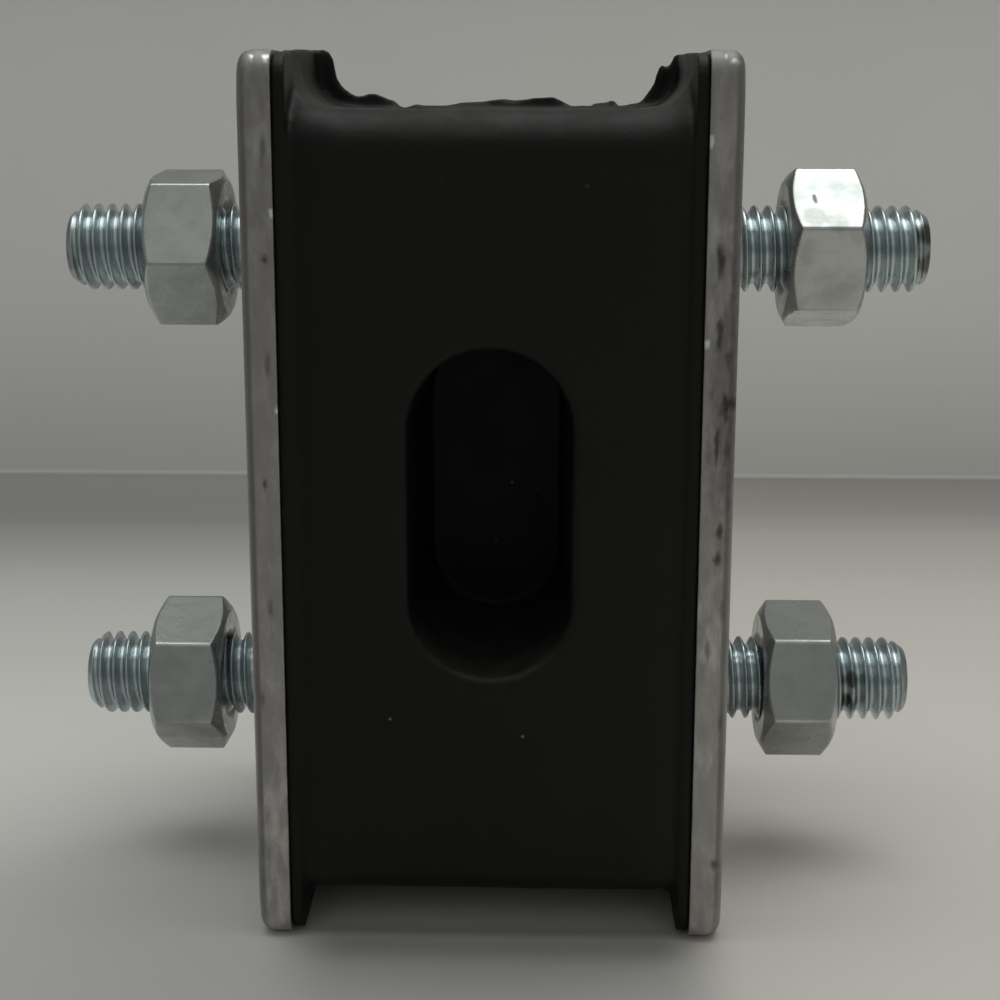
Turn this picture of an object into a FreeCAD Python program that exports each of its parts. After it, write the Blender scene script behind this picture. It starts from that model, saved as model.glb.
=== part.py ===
"""Exhaust rubber mount.

One moulded rubber block is bonded between two steel plates. Two headed studs are
pressed through each plate and stand out of it, and each stud carries a hexagon nut.

Frame: X runs from plate to plate, Y through the depth, Z upwards. The plates stand
on Z = 0, and the stud axes lie in the plane Y = 0. All sizes are in millimetres.
"""
import FreeCAD
import Part
import math
import os

V = FreeCAD.Vector

# Steel plates
PLATE_SPAN = 40.0  # over the outer faces of both plates
PLATE_THICKNESS = 2.75
PLATE_DEPTH = 44.0
PLATE_HEIGHT = 75.0
PLATE_CORNER_RADIUS = 2.0
OUTER_ROLLOVER = 0.8  # rounded edge that blanking leaves on the outer face; the inner edge is sharp

# Studs, with a press neck in the plate and a head bedded in the rubber
STUD_SPACING = 41.0
STUD_PROJECTION = 19.0
THREAD_PITCH_DIAMETER = 7.19  # the threaded length is drawn plain, at its pitch diameter
TIP_DIAMETER = 5.9
TIP_LENGTH = 1.3
SHOULDER_DIAMETER = 8.0
SHOULDER_LENGTH = 1.5
NECK_DIAMETER = 8.4
NECK_CLEARANCE = 0.02  # on the radius, in the plate's bore
HEAD_DIAMETER = 12.0
HEAD_THICKNESS = 1.0

# Nuts
NUT_ACROSS_FLATS = 13.0
NUT_THICKNESS = 6.8
NUT_BORE_CLEARANCE = 0.05  # on the radius, over the stud's threaded length
NUT_CHAMFER_ANGLE = 30.0
NUT_FACE_DIAMETER = 12.2  # round end face inside the chamfer
NUT_MOUTH_DIAMETER = 8.7  # countersink at both ends of the thread
NUT_MOUTH_DEPTH = 0.7

# Where each nut was run to: gap from the plate, and turn of its corner from the front, downwards
NUT_PLACES = {
    "upper_left": (4.7, 8.0),
    "upper_right": (6.1, 42.0),
    "lower_left": (5.7, 22.0),
    "lower_right": (5.2, 15.5),
}

# Rubber block
BLOCK_END_RECESS = 4.2  # from the plates' ends to the block's top and underside
BLOCK_FACE_INSET = 0.2  # from the plates' edges to the block's front and back
BLOCK_CORNER_RADIUS = 9.0  # shallow upright corners, beside the plates
BLOCK_CORNER_LENGTH = 4.2
TOP_EDGE_RADIUS = 3.5
UNDER_EDGE_RADIUS = 1.8

# Rubber skin over each plate's inner face
SKIN_THICKNESS = 1.1
SKIN_INSET = 0.3

# Flares that sweep the block's top and underside into the skins
FLARE_RADIUS = 2.9
FLARE_BED = 0.15  # how far the flare's foot is let into the block's top
FLARE_END_BED = 0.7  # how far its sloping ends are let into the block's rounded edges
FLARE_END_INSET = 1.6  # from the block's front and back to the flare's upright ends, inside the block

# Blind pockets in the front and the back, with a web between them
POCKET_WIDTH = 13.4
POCKET_HEIGHT = 27.6
POCKET_DRAFT = 1.5  # degrees
POCKET_RIM_RADIUS = 0.8
WEB_THICKNESS = 1.5

# Parting line of the mould, at mid-depth
FLASH_HEIGHT = 0.5
FLASH_THICKNESS = 0.4

# Worked out from the sizes above
PLATE_INNER_X = PLATE_SPAN / 2 - PLATE_THICKNESS
BLOCK_FACE_Y = PLATE_DEPTH / 2 - BLOCK_FACE_INSET
BLOCK_BOTTOM_Z = BLOCK_END_RECESS
BLOCK_TOP_Z = PLATE_HEIGHT - BLOCK_END_RECESS
SKIN_FACE_X = PLATE_INNER_X - SKIN_THICKNESS
MIDDLE_Z = PLATE_HEIGHT / 2
NUT_BORE_RADIUS = THREAD_PITCH_DIAMETER / 2 + NUT_BORE_CLEARANCE
SIDES = {"left": -1, "right": 1}
LEVELS = {"lower": MIDDLE_Z - STUD_SPACING / 2, "upper": MIDDLE_Z + STUD_SPACING / 2}


def rounded_outline(half_a, half_b, radius, place):
    """Closed outline of a rectangle with round corners; place(a, b) gives each point."""
    a, b = half_a - radius, half_b - radius
    mid = radius * math.sqrt(0.5)
    edges = []
    corners = [(1, 1), (-1, 1), (-1, -1), (1, -1)]
    for index, (sa, sb) in enumerate(corners):
        first = place(sa * half_a, sb * b)
        last = place(sa * a, sb * half_b)
        if sa * sb < 0:
            first, last = last, first
        edges.append(Part.Arc(first, place(sa * (a + mid), sb * (b + mid)), last).toShape())
        na, nb = corners[(index + 1) % 4]
        start = last
        end = place(na * half_a, nb * b) if na * nb > 0 else place(na * a, nb * half_b)
        if (end - start).Length > 1e-6:
            edges.append(Part.makeLine(start, end))
    return Part.Wire(Part.__sortEdges__(edges))


def steel_plate(side):
    """One blanked plate, pierced for its two studs."""
    inner = side * PLATE_INNER_X
    outline = rounded_outline(
        PLATE_DEPTH / 2, PLATE_HEIGHT / 2, PLATE_CORNER_RADIUS, lambda y, z: V(inner, y, MIDDLE_Z + z)
    )
    plate = Part.Face(outline).extrude(V(side * PLATE_THICKNESS, 0, 0))
    outer_edges = [e for e in plate.Edges if on_plane_x(e, side * PLATE_SPAN / 2)]
    plate = plate.makeFillet(OUTER_ROLLOVER, outer_edges)
    bore = NECK_DIAMETER / 2 + NECK_CLEARANCE
    for z in LEVELS.values():
        plate = plate.cut(Part.makeCylinder(bore, PLATE_THICKNESS, V(inner, 0, z), V(side, 0, 0)))
    return plate


def on_plane_x(edge, x):
    """True for an edge that lies in the plane at this x."""
    box = edge.BoundBox
    return abs(box.XMin - x) < 1e-4 and abs(box.XMax - x) < 1e-4


def on_plane_y(edge, y):
    """True for an edge that lies in the plane at this y."""
    box = edge.BoundBox
    return abs(box.YMin - y) < 1e-4 and abs(box.YMax - y) < 1e-4


def on_plane_z(edge, z):
    """True for an edge that lies in the plane at this z."""
    box = edge.BoundBox
    return abs(box.ZMin - z) < 1e-4 and abs(box.ZMax - z) < 1e-4


def turned(profile, side, z):
    """Solid of revolution about a stud axis; profile holds (distance outwards from the inner face, radius)."""
    points = [V(side * (PLATE_INNER_X + d), r, z) for d, r in profile]
    wire = Part.makePolygon(points + [points[0]])
    return Part.Face(wire).revolve(V(0, 0, z), V(1, 0, 0), 360)


def stud(side, z):
    """Headed stud: head, press neck, plain shoulder, threaded length and tapered tip."""
    shoulder_end = PLATE_THICKNESS + SHOULDER_LENGTH
    tip = PLATE_THICKNESS + STUD_PROJECTION
    lengths = [
        (-HEAD_THICKNESS, 0, HEAD_DIAMETER),
        (0, PLATE_THICKNESS, NECK_DIAMETER),
        (PLATE_THICKNESS, shoulder_end, SHOULDER_DIAMETER),
        (shoulder_end, tip - TIP_LENGTH, THREAD_PITCH_DIAMETER),
    ]
    outwards = V(side, 0, 0)
    pieces = []
    for start, end, diameter in lengths:
        base = V(side * (PLATE_INNER_X + start), 0, z)
        pieces.append(Part.makeCylinder(diameter / 2, end - start, base, outwards))
    tip_base = V(side * (PLATE_INNER_X + tip - TIP_LENGTH), 0, z)
    pieces.append(Part.makeCone(THREAD_PITCH_DIAMETER / 2, TIP_DIAMETER / 2, TIP_LENGTH, tip_base, outwards))
    return pieces[0].fuse(pieces[1:]).removeSplitter().Solids[0]


def hexagon_nut(side, z, gap, turn):
    """Hexagon nut with both ends chamfered and both mouths countersunk."""
    start = PLATE_THICKNESS + gap
    end = start + NUT_THICKNESS
    corner = NUT_ACROSS_FLATS / math.sqrt(3)
    x = side * (PLATE_INNER_X + start)
    points = []
    for k in range(6):
        angle = math.radians(turn + 60 * k)
        points.append(V(x, -corner * math.cos(angle), z - corner * math.sin(angle)))
    prism = Part.Face(Part.makePolygon(points + [points[0]])).extrude(V(side * NUT_THICKNESS, 0, 0))
    face = NUT_FACE_DIAMETER / 2
    drop = (corner - face) * math.tan(math.radians(NUT_CHAMFER_ANGLE))
    chamfered = turned(
        [(start, 0), (start, face), (start + drop, corner), (end - drop, corner), (end, face), (end, 0)],
        side,
        z,
    )
    mouth = NUT_MOUTH_DIAMETER / 2
    bore = turned(
        [
            (start, 0),
            (start, mouth),
            (start + NUT_MOUTH_DEPTH, NUT_BORE_RADIUS),
            (end - NUT_MOUTH_DEPTH, NUT_BORE_RADIUS),
            (end, mouth),
            (end, 0),
        ],
        side,
        z,
    )
    return prism.common(chamfered).cut(bore)


def block_plan(z):
    """Outline of the block seen from above: straight beside the plates, with shallow bends at the four corners."""
    radius = BLOCK_CORNER_RADIUS
    centre_x = PLATE_INNER_X - BLOCK_CORNER_LENGTH
    centre_y = BLOCK_FACE_Y - radius
    sweep = math.asin(BLOCK_CORNER_LENGTH / radius)
    edges = []
    ends = {}
    for sx in (-1, 1):
        for sy in (-1, 1):
            start, middle, end = (
                V(sx * (centre_x + radius * math.sin(a)), sy * (centre_y + radius * math.cos(a)), z)
                for a in (0, sweep / 2, sweep)
            )
            edges.append(Part.Arc(start, middle, end).toShape())
            ends[sx, sy] = (start, end)
    for s in (-1, 1):
        edges.append(Part.makeLine(ends[-1, s][0], ends[1, s][0]))
        edges.append(Part.makeLine(ends[s, -1][1], ends[s, 1][1]))
    return Part.Wire(Part.__sortEdges__(edges))


def block_body():
    """The block's main mass, with its top and underside rounded into the front and the back."""
    body = Part.Face(block_plan(BLOCK_BOTTOM_Z)).extrude(V(0, 0, BLOCK_TOP_Z - BLOCK_BOTTOM_Z))
    for z, radius in ((BLOCK_TOP_Z, TOP_EDGE_RADIUS), (BLOCK_BOTTOM_Z, UNDER_EDGE_RADIUS)):
        rims = [e for e in body.Edges if on_plane_z(e, z)]
        rims = [e for e in rims if not on_plane_x(e, -PLATE_INNER_X) and not on_plane_x(e, PLATE_INNER_X)]
        body = body.makeFillet(radius, rims)
    return body


def skin(side):
    """Thin rubber skin that covers a plate's inner face."""
    x = side * PLATE_INNER_X
    outline = rounded_outline(
        PLATE_DEPTH / 2 - SKIN_INSET,
        PLATE_HEIGHT / 2 - SKIN_INSET,
        PLATE_CORNER_RADIUS,
        lambda y, z: V(x, y, MIDDLE_Z + z),
    )
    return Part.Face(outline).extrude(V(-side * SKIN_THICKNESS, 0, 0))


def flare(side):
    """Rubber beside a plate whose hollow top and underside run from the block up into the skin."""
    foot_x = SKIN_FACE_X - FLARE_RADIUS
    foot = BLOCK_TOP_Z - FLARE_BED - MIDDLE_Z
    top = foot + FLARE_RADIUS
    hollow = FLARE_RADIUS * (1 - math.sqrt(0.5))

    def at(x, z):
        return V(side * x, -BLOCK_FACE_Y, MIDDLE_Z + z)

    edges = []
    for end in (1, -1):
        edges.append(Part.makeLine(at(PLATE_INNER_X, 0), at(PLATE_INNER_X, end * top)))
        edges.append(Part.makeLine(at(PLATE_INNER_X, end * top), at(SKIN_FACE_X, end * top)))
        sweep = Part.Arc(
            at(SKIN_FACE_X, end * top), at(SKIN_FACE_X - hollow, end * (foot + hollow)), at(foot_x, end * foot)
        )
        edges.append(sweep.toShape())
        edges.append(Part.makeLine(at(foot_x, end * foot), at(foot_x, 0)))
    profile = Part.Wire(Part.__sortEdges__(edges))
    rib = Part.Face(profile).extrude(V(0, 2 * BLOCK_FACE_Y, 0))
    return rib.common(Part.Face(flare_ends(top)).extrude(V(2 * PLATE_INNER_X, 0, 0)))


def flare_ends(top):
    """Outline seen along X: ends that slope at 45 degrees, out of the block's rounded edges up to full height."""
    end_y = BLOCK_FACE_Y - FLARE_END_INSET
    block_half = BLOCK_TOP_Z - MIDDLE_Z
    corners = []
    for sz, radius in ((-1, UNDER_EDGE_RADIUS), (1, TOP_EDGE_RADIUS)):
        slope_sum = BLOCK_FACE_Y - radius + block_half - radius + (radius - FLARE_END_BED) * math.sqrt(2)
        run = [(end_y, slope_sum - end_y), (slope_sum - top, top)]
        run += [(-y, z) for y, z in reversed(run)]
        corners += [V(-PLATE_INNER_X, sz * y, MIDDLE_Z + sz * z) for y, z in run]
    return Part.makePolygon(corners + corners[:1])


def pocket(facing):
    """Tapered oblong pocket, from beyond the block's face down to the web."""
    depth = BLOCK_FACE_Y - WEB_THICKNESS / 2
    narrowing = depth * math.tan(math.radians(POCKET_DRAFT))

    def section(y, shrink):
        half_width = POCKET_WIDTH / 2 - shrink
        half_height = POCKET_HEIGHT / 2 - shrink
        return rounded_outline(
            half_width, half_height, half_width, lambda x, z: V(x, facing * y, MIDDLE_Z + z)
        )

    return Part.makeLoft([section(BLOCK_FACE_Y, 0), section(WEB_THICKNESS / 2, narrowing)], True, True)


def flash():
    """Low ridge along the parting line, over the top and under the block."""
    reach = SKIN_FACE_X
    low = BLOCK_BOTTOM_Z - FLASH_HEIGHT
    height = BLOCK_TOP_Z - BLOCK_BOTTOM_Z + 2 * FLASH_HEIGHT
    ring = Part.makeBox(2 * reach, FLASH_THICKNESS, height, V(-reach, -FLASH_THICKNESS / 2, low))
    depth = TOP_EDGE_RADIUS
    inside = Part.makeBox(
        2 * reach, FLASH_THICKNESS, height - 2 * depth, V(-reach, -FLASH_THICKNESS / 2, low + depth)
    )
    return ring.cut(inside)


def rubber_block(studs):
    """The whole moulding: block, skins, flares and flash, with pockets and beds for the stud heads."""
    pieces = [skin(side) for side in SIDES.values()]
    pieces += [flare(side) for side in SIDES.values()]
    pieces.append(flash())
    body = block_body()
    for facing in (-1, 1):
        body = body.cut(pocket(facing))
    mouths = [e for e in body.Edges if on_plane_y(e, BLOCK_FACE_Y) or on_plane_y(e, -BLOCK_FACE_Y)]
    mouths = [e for e in mouths if is_mouth(e)]
    body = body.makeFillet(POCKET_RIM_RADIUS, mouths)
    body = body.fuse(pieces).removeSplitter()
    for piece in studs:
        body = body.cut(piece)
    return body.Solids[0]


def is_mouth(edge):
    """True for an edge within a pocket's mouth."""
    box = edge.BoundBox
    across = max(abs(box.XMin), abs(box.XMax))
    up = max(abs(box.ZMin - MIDDLE_Z), abs(box.ZMax - MIDDLE_Z))
    return across < POCKET_WIDTH / 2 + 1e-3 and up < POCKET_HEIGHT / 2 + 1e-3


def build():
    """All sub-parts, by node name."""
    nodes = {}
    for side_name, side in SIDES.items():
        nodes[f"{side_name}_plate"] = steel_plate(side)
        for level_name, z in LEVELS.items():
            place = f"{level_name}_{side_name}"
            gap, turn = NUT_PLACES[place]
            nodes[f"{place}_stud"] = stud(side, z)
            nodes[f"{place}_nut"] = hexagon_nut(side, z, gap, turn)
    nodes["rubber_block"] = rubber_block([s for n, s in nodes.items() if n.endswith("_stud")])
    return nodes


def main():
    os.makedirs("parts", exist_ok=True)
    for name, shape in build().items():
        shape.exportStep(f"parts/{name}.step")
        print(name, "solids", len(shape.Solids), "valid", shape.isValid(), "volume", round(shape.Volume, 1))


main()
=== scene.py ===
"""Looks of the bonded exhaust rubber mount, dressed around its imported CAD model.

The frame is the model's own: X from plate to plate, Y from front to back, Z up.
Sizes are written in millimetres and become metres where a mesh is made.
"""

import math

import bmesh
import bpy
import numpy as np
from mathutils import Matrix, Vector, noise


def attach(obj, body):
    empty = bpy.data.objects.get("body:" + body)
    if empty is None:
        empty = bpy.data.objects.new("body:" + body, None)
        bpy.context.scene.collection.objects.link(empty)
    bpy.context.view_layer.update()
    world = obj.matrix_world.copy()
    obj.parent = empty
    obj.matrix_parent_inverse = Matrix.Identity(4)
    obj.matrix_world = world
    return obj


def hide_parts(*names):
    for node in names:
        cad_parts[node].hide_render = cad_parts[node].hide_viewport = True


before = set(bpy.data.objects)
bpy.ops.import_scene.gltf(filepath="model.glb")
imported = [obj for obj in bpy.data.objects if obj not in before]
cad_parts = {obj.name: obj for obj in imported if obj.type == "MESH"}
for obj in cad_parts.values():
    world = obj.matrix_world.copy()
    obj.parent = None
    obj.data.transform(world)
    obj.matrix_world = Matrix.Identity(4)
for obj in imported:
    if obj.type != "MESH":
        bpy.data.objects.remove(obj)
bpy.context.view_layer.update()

MM = 0.001
BODY = "root"

# The model's main sizes
SIDES = {"left": -1, "right": 1}
STUD_HEIGHTS = {"upper": 58.0, "lower": 17.0}
PLATE_INNER = 17.25
PLATE_OUTER = 20.0
PLATE_HALF_DEPTH = 22.0
PLATE_HEIGHT = 75.0
PLATE_CORNER = 2.0
ROLLOVER = 0.8
STUD_BORE_RADIUS = 4.22
BLOCK_TOP = 70.8

# Threads
THREAD_PITCH = 1.25
THREAD_CREST = 3.93
THREAD_ROOT = 3.17
THREAD_ROWS = 18  # rows of points to one turn of thread
THREAD_SIDES = 72
NUT_THREAD_GAP = 0.04

# Nuts, with each one's gap from its plate and turn of its corner from the front, downwards
NUT_FLATS = 13.0
NUT_THICKNESS = 6.8
NUT_CHAMFER_RADIUS = 6.1
NUT_CORNER_SOFTNESS = 0.25
NUT_CHAMFER_SOFTNESS = 0.16
NUT_BORE_RADIUS = 3.2
NUT_MOUTH_DEPTH = 1.0
NUT_PLACES = {
    "upper_left": (4.7, 8.0),
    "upper_right": (6.1, 42.0),
    "lower_left": (5.7, 22.0),
    "lower_right": (5.2, 15.5),
}


# Node trees


def add_node(tree, kind, inputs=None, **settings):
    """Adds a node; inputs holds plain values or the sockets to link, by socket name or number."""
    node = tree.nodes.new(kind)
    for key, value in settings.items():
        setattr(node, key, value)
    for key, value in (inputs or {}).items():
        socket = node.inputs[key]
        if isinstance(value, bpy.types.NodeSocket):
            tree.links.new(value, socket)
        else:
            socket.default_value = value
    return node


def maths(tree, operation, *values):
    """Result of one Math node."""
    return add_node(tree, "ShaderNodeMath", dict(enumerate(values)), operation=operation).outputs[0]


def ranged(tree, value, low, high, to_low=0.0, to_high=1.0, smooth=True):
    """Value taken from one range to another, held at both ends."""
    kind = "SMOOTHSTEP" if smooth else "LINEAR"
    inputs = {"Value": value, "From Min": low, "From Max": high, "To Min": to_low, "To Max": to_high}
    return add_node(tree, "ShaderNodeMapRange", inputs, interpolation_type=kind).outputs[0]


def blended(tree, factor, first, second):
    """Colour between two colours."""
    node = add_node(tree, "ShaderNodeMix", data_type="RGBA")
    colour_inputs = [s for s in node.inputs if s.type == "RGBA"]
    for socket, value in zip([node.inputs[0]] + colour_inputs, (factor, first, second)):
        if isinstance(value, bpy.types.NodeSocket):
            tree.links.new(value, socket)
        else:
            socket.default_value = value
    return next(s for s in node.outputs if s.type == "RGBA")


def grey(value, warm=0.0):
    """Opaque grey in linear light; warm shifts it a little from blue to red."""
    return (value * (1 + warm), value, value * (1 - warm), 1.0)


def toned(tree, place, stops, warm):
    """Grey by place along one axis; stops are (millimetres, tone)."""
    low, high = stops[0][0], stops[-1][0]
    share = ranged(tree, place, low * MM, high * MM, smooth=False)
    node = add_node(tree, "ShaderNodeValToRGB", {0: share})
    node.color_ramp.interpolation = "CARDINAL"
    elements = node.color_ramp.elements
    for index, (at, tone) in enumerate(stops):
        position = (at - low) / (high - low)
        if 0 < index < len(stops) - 1:
            elements.new(position)
        elements[index].position = position
        elements[index].color = grey(tone, warm)
    return node.outputs[0]


def near_point(tree, spot, radius):
    """Mask of 1 within a radius of one point, given in millimetres."""
    place = add_node(tree, "ShaderNodeTexCoord").outputs["Object"]
    centre = tuple(c * MM for c in spot)
    far = add_node(tree, "ShaderNodeVectorMath", {0: place, 1: centre}, operation="DISTANCE").outputs["Value"]
    return ranged(tree, far, radius * 0.6 * MM, radius * 1.2 * MM, 1.0, 0.0)


def object_axes(tree):
    """Sockets of the piece's own X, Y and Z."""
    place = add_node(tree, "ShaderNodeTexCoord").outputs["Object"]
    return add_node(tree, "ShaderNodeSeparateXYZ", {0: place}).outputs


def shader_group(name, inputs, outputs):
    """New shader node group with named sockets; inputs maps a name to its type and value."""
    tree = bpy.data.node_groups.new(name, "ShaderNodeTree")
    for label, (kind, value) in inputs.items():
        socket = tree.interface.new_socket(name=label, in_out="INPUT", socket_type="NodeSocket" + kind)
        socket.default_value = value
    for label, kind in outputs.items():
        tree.interface.new_socket(name=label, in_out="OUTPUT", socket_type="NodeSocket" + kind)
    return tree, tree.nodes.new("NodeGroupInput").outputs, tree.nodes.new("NodeGroupOutput").inputs


def make_mottle_group():
    """Cloudy mask over the surface, from 0 to 1."""
    tree, given, result = shader_group(
        "mottle",
        {
            "Scale": ("Float", 100.0),
            "Stretch": ("Vector", (1, 1, 1)),
            "Low": ("Float", 0.4),
            "High": ("Float", 0.6),
        },
        {"Mask": "Float"},
    )
    place = add_node(tree, "ShaderNodeTexCoord").outputs["Object"]
    stretched = add_node(
        tree, "ShaderNodeVectorMath", {0: place, 1: given["Stretch"]}, operation="MULTIPLY"
    ).outputs[0]
    grain = {"Vector": stretched, "Scale": given["Scale"], "Detail": 5.0, "Roughness": 0.6}
    cloud = add_node(tree, "ShaderNodeTexNoise", grain).outputs[0]
    tree.links.new(ranged(tree, cloud, given["Low"], given["High"]), result["Mask"])
    return tree


def make_speck_group():
    """Scattered round specks: 1 in a speck and 0 between them."""
    tree, given, result = shader_group(
        "specks",
        {"Scale": ("Float", 300.0), "Size": ("Float", 0.1), "Share": ("Float", 0.2)},
        {"Mask": "Float"},
    )
    place = add_node(tree, "ShaderNodeTexCoord").outputs["Object"]
    cells = add_node(tree, "ShaderNodeTexVoronoi", {"Vector": place, "Scale": given["Scale"]})
    near = maths(tree, "LESS_THAN", cells.outputs["Distance"], given["Size"])
    pick = add_node(tree, "ShaderNodeSeparateColor", {"Color": cells.outputs["Color"]}).outputs[0]
    chosen = maths(tree, "LESS_THAN", pick, given["Share"])
    tree.links.new(maths(tree, "MULTIPLY", near, chosen), result["Mask"])
    return tree


def make_relief_group():
    """Surface normal roughened by two sizes of grain."""
    tree, given, result = shader_group(
        "relief",
        {
            "Fine Scale": ("Float", 2500.0),
            "Coarse Scale": ("Float", 500.0),
            "Fine": ("Float", 0.3),
            "Coarse": ("Float", 0.3),
            "Depth": ("Float", 0.04 * MM),
        },
        {"Normal": "Vector"},
    )
    place = add_node(tree, "ShaderNodeTexCoord").outputs["Object"]
    parts = []
    for label, detail in (("Fine", 3.0), ("Coarse", 4.0)):
        grain = {"Vector": place, "Scale": given[label + " Scale"], "Detail": detail}
        cloud = add_node(tree, "ShaderNodeTexNoise", grain).outputs[0]
        parts.append(maths(tree, "MULTIPLY", cloud, given[label]))
    height = maths(tree, "ADD", *parts)
    bump = add_node(tree, "ShaderNodeBump", {"Height": height, "Distance": given["Depth"], "Strength": 1.0})
    tree.links.new(bump.outputs[0], result["Normal"])
    return tree


MOTTLE = make_mottle_group()
SPECKS = make_speck_group()
RELIEF = make_relief_group()


def use_group(tree, group, **values):
    """Places a shared group in a material and returns its first output."""
    node = add_node(tree, "ShaderNodeGroup", node_tree=group)
    for label, value in values.items():
        node.inputs[label.replace("_", " ")].default_value = value
    return node.outputs[0]


def new_material(name, **constants):
    """Material with one Principled shader; constants go on the shader's own sockets."""
    material = bpy.data.materials.new(name)
    material.use_nodes = True
    shader = material.node_tree.nodes["Principled BSDF"]
    for label, value in constants.items():
        shader.inputs[label.replace("_", " ")].default_value = value
    return material, material.node_tree, shader


def attribute_mask(tree, name):
    """Value painted on a piece's points, from 0 to 1."""
    return add_node(tree, "ShaderNodeAttribute", attribute_name=name).outputs["Fac"]


# Flecks of pale dirt on the rubber, as (x, y, z, radius)
FLECKS = [(-8.4, -21.8, 20.05, 0.14), (2.8, -21.8, 18.6, 0.16), (1.5, -0.8, 36.2, 0.14)]


def make_rubber():
    """Black moulded rubber with a thin grey bloom, dust on what faces up and fine grain."""
    material, tree, shader = new_material("moulded_rubber", Specular_IOR_Level=0.24, Metallic=0.0)
    black = grey(0.0034, 0.10)
    bloom = grey(0.0078, 0.10)
    dust = grey(0.065, 0.05)
    pale_dirt = grey(0.16, 0.04)
    cloud = use_group(tree, MOTTLE, Scale=90.0, Low=0.38, High=0.75)
    streak = use_group(tree, MOTTLE, Scale=260.0, Stretch=(1, 1, 0.35), Low=0.45, High=0.8)
    colour = blended(tree, maths(tree, "MULTIPLY", cloud, 0.6), black, bloom)
    colour = blended(tree, maths(tree, "MULTIPLY", streak, 0.25), colour, bloom)
    normal = add_node(tree, "ShaderNodeNewGeometry").outputs["Normal"]
    upward = ranged(tree, add_node(tree, "ShaderNodeSeparateXYZ", {0: normal}).outputs[2], 0.1, 0.95)
    patches = ranged(tree, use_group(tree, MOTTLE, Scale=420.0, Low=0.25, High=0.75), 0.0, 1.0, 0.5, 1.0)
    settled = maths(tree, "MULTIPLY", upward, patches)
    colour = blended(tree, maths(tree, "MULTIPLY", settled, 0.38), colour, dust)
    speck = use_group(tree, SPECKS, Scale=520.0, Size=0.12, Share=0.02)
    colour = blended(tree, maths(tree, "MULTIPLY", speck, 0.35), colour, dust)
    for x, y, z, radius in FLECKS:
        colour = blended(tree, near_point(tree, (x, y, z), radius), colour, pale_dirt)
    tree.links.new(colour, shader.inputs["Base Color"])
    rough = ranged(tree, cloud, 0.0, 1.0, 0.50, 0.64)
    tree.links.new(rough, shader.inputs["Roughness"])
    relief = {"Fine_Scale": 3200.0, "Coarse_Scale": 420.0, "Fine": 0.25, "Coarse": 0.7, "Depth": 0.06 * MM}
    normal = use_group(tree, RELIEF, **relief)
    tree.links.new(normal, shader.inputs["Normal"])
    return material


# Painted shade: the plates' sheared edges are painted darker towards this height
EDGE_SHADE_HEIGHT = 78.0


def make_plate_steel():
    """Zinc-plated sheet: satin faces, a streaky sheared edge, dark pits, pale nicks and painted highlights,
    with painted shade on the edge's upper part and on the rolled-over outer edge.
    """
    material, tree, shader = new_material("plated_sheet_steel", Metallic=1.0)
    face = grey(0.40, 0.02)
    edge_dull = grey(0.41, 0.035)
    edge_light = grey(0.72, 0.03)
    edge_shaded = grey(0.24, 0.035)
    shaded_rollover_colour = grey(0.15, 0.05)
    nick_and_highlight_colour = grey(0.85)
    pitted = grey(0.05, 0.12)
    cloud = use_group(tree, MOTTLE, Scale=160.0, Low=0.35, High=0.7)
    grain = use_group(tree, MOTTLE, Scale=900.0, Stretch=(1, 1, 0.3), Low=0.35, High=0.7)
    sheared = attribute_mask(tree, "sheared")
    edge = blended(tree, maths(tree, "MULTIPLY", grain, cloud), edge_dull, edge_light)
    # Painted shade: the sheared edge darkens towards the top
    upper_edge_shade = ranged(tree, object_axes(tree)[2], 0.0, EDGE_SHADE_HEIGHT * MM, 0.0, 0.5)
    edge = blended(tree, upper_edge_shade, edge, edge_shaded)
    flat = blended(tree, maths(tree, "MULTIPLY", cloud, 0.5), face, grey(0.30, 0.03))
    colour = blended(tree, sheared, flat, edge)
    # Painted shade on the rolled-over outer edge
    rollover_shade = maths(tree, "MULTIPLY", attribute_mask(tree, "rollover_shade"), 0.75)
    colour = blended(tree, rollover_shade, colour, shaded_rollover_colour)
    # Pale nicks and painted highlights, with lower roughness
    colour = blended(tree, attribute_mask(tree, "nick_and_highlight"), colour, nick_and_highlight_colour)
    colour = blended(tree, attribute_mask(tree, "pit"), colour, pitted)
    tree.links.new(colour, shader.inputs["Base Color"])
    base = ranged(tree, sheared, 0.0, 1.0, 0.36, 0.62)
    rough = maths(tree, "ADD", base, maths(tree, "MULTIPLY", cloud, 0.1))
    rough = maths(tree, "SUBTRACT", rough, maths(tree, "MULTIPLY", attribute_mask(tree, "nick_and_highlight"), 0.3))
    tree.links.new(rough, shader.inputs["Roughness"])
    relief = {"Fine_Scale": 1800.0, "Coarse_Scale": 380.0, "Fine": 0.4, "Coarse": 0.5, "Depth": 0.07 * MM}
    normal = use_group(tree, RELIEF, **relief)
    tree.links.new(normal, shader.inputs["Normal"])
    return material


# Dark marks and films on the nuts and studs, as (x, y, z, radius, strength)
NUT_STAINS = [
    (28.2, -4.2, 62.97, 0.2, 0.8), (28.22, -4.4, 62.79, 0.22, 0.8), (28.26, -4.6, 62.61, 0.22, 0.8),
    (28.3, -4.8, 62.43, 0.18, 0.7), (28.1, -6.1, 61.3, 1.3, 0.4), (30.0, -6.6, 60.9, 1.1, 0.3),
]
STUD_STAINS = [
    (33.6, -3.6, 18.0, 0.9, 0.75), (33.5, -3.0, 15.6, 1.0, 0.8), (38.6, -2.6, 59.5, 1.1, 0.8),
    (38.8, -2.6, 57.0, 1.1, 0.8), (-38.7, -2.4, 57.0, 1.1, 0.6),
]


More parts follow.
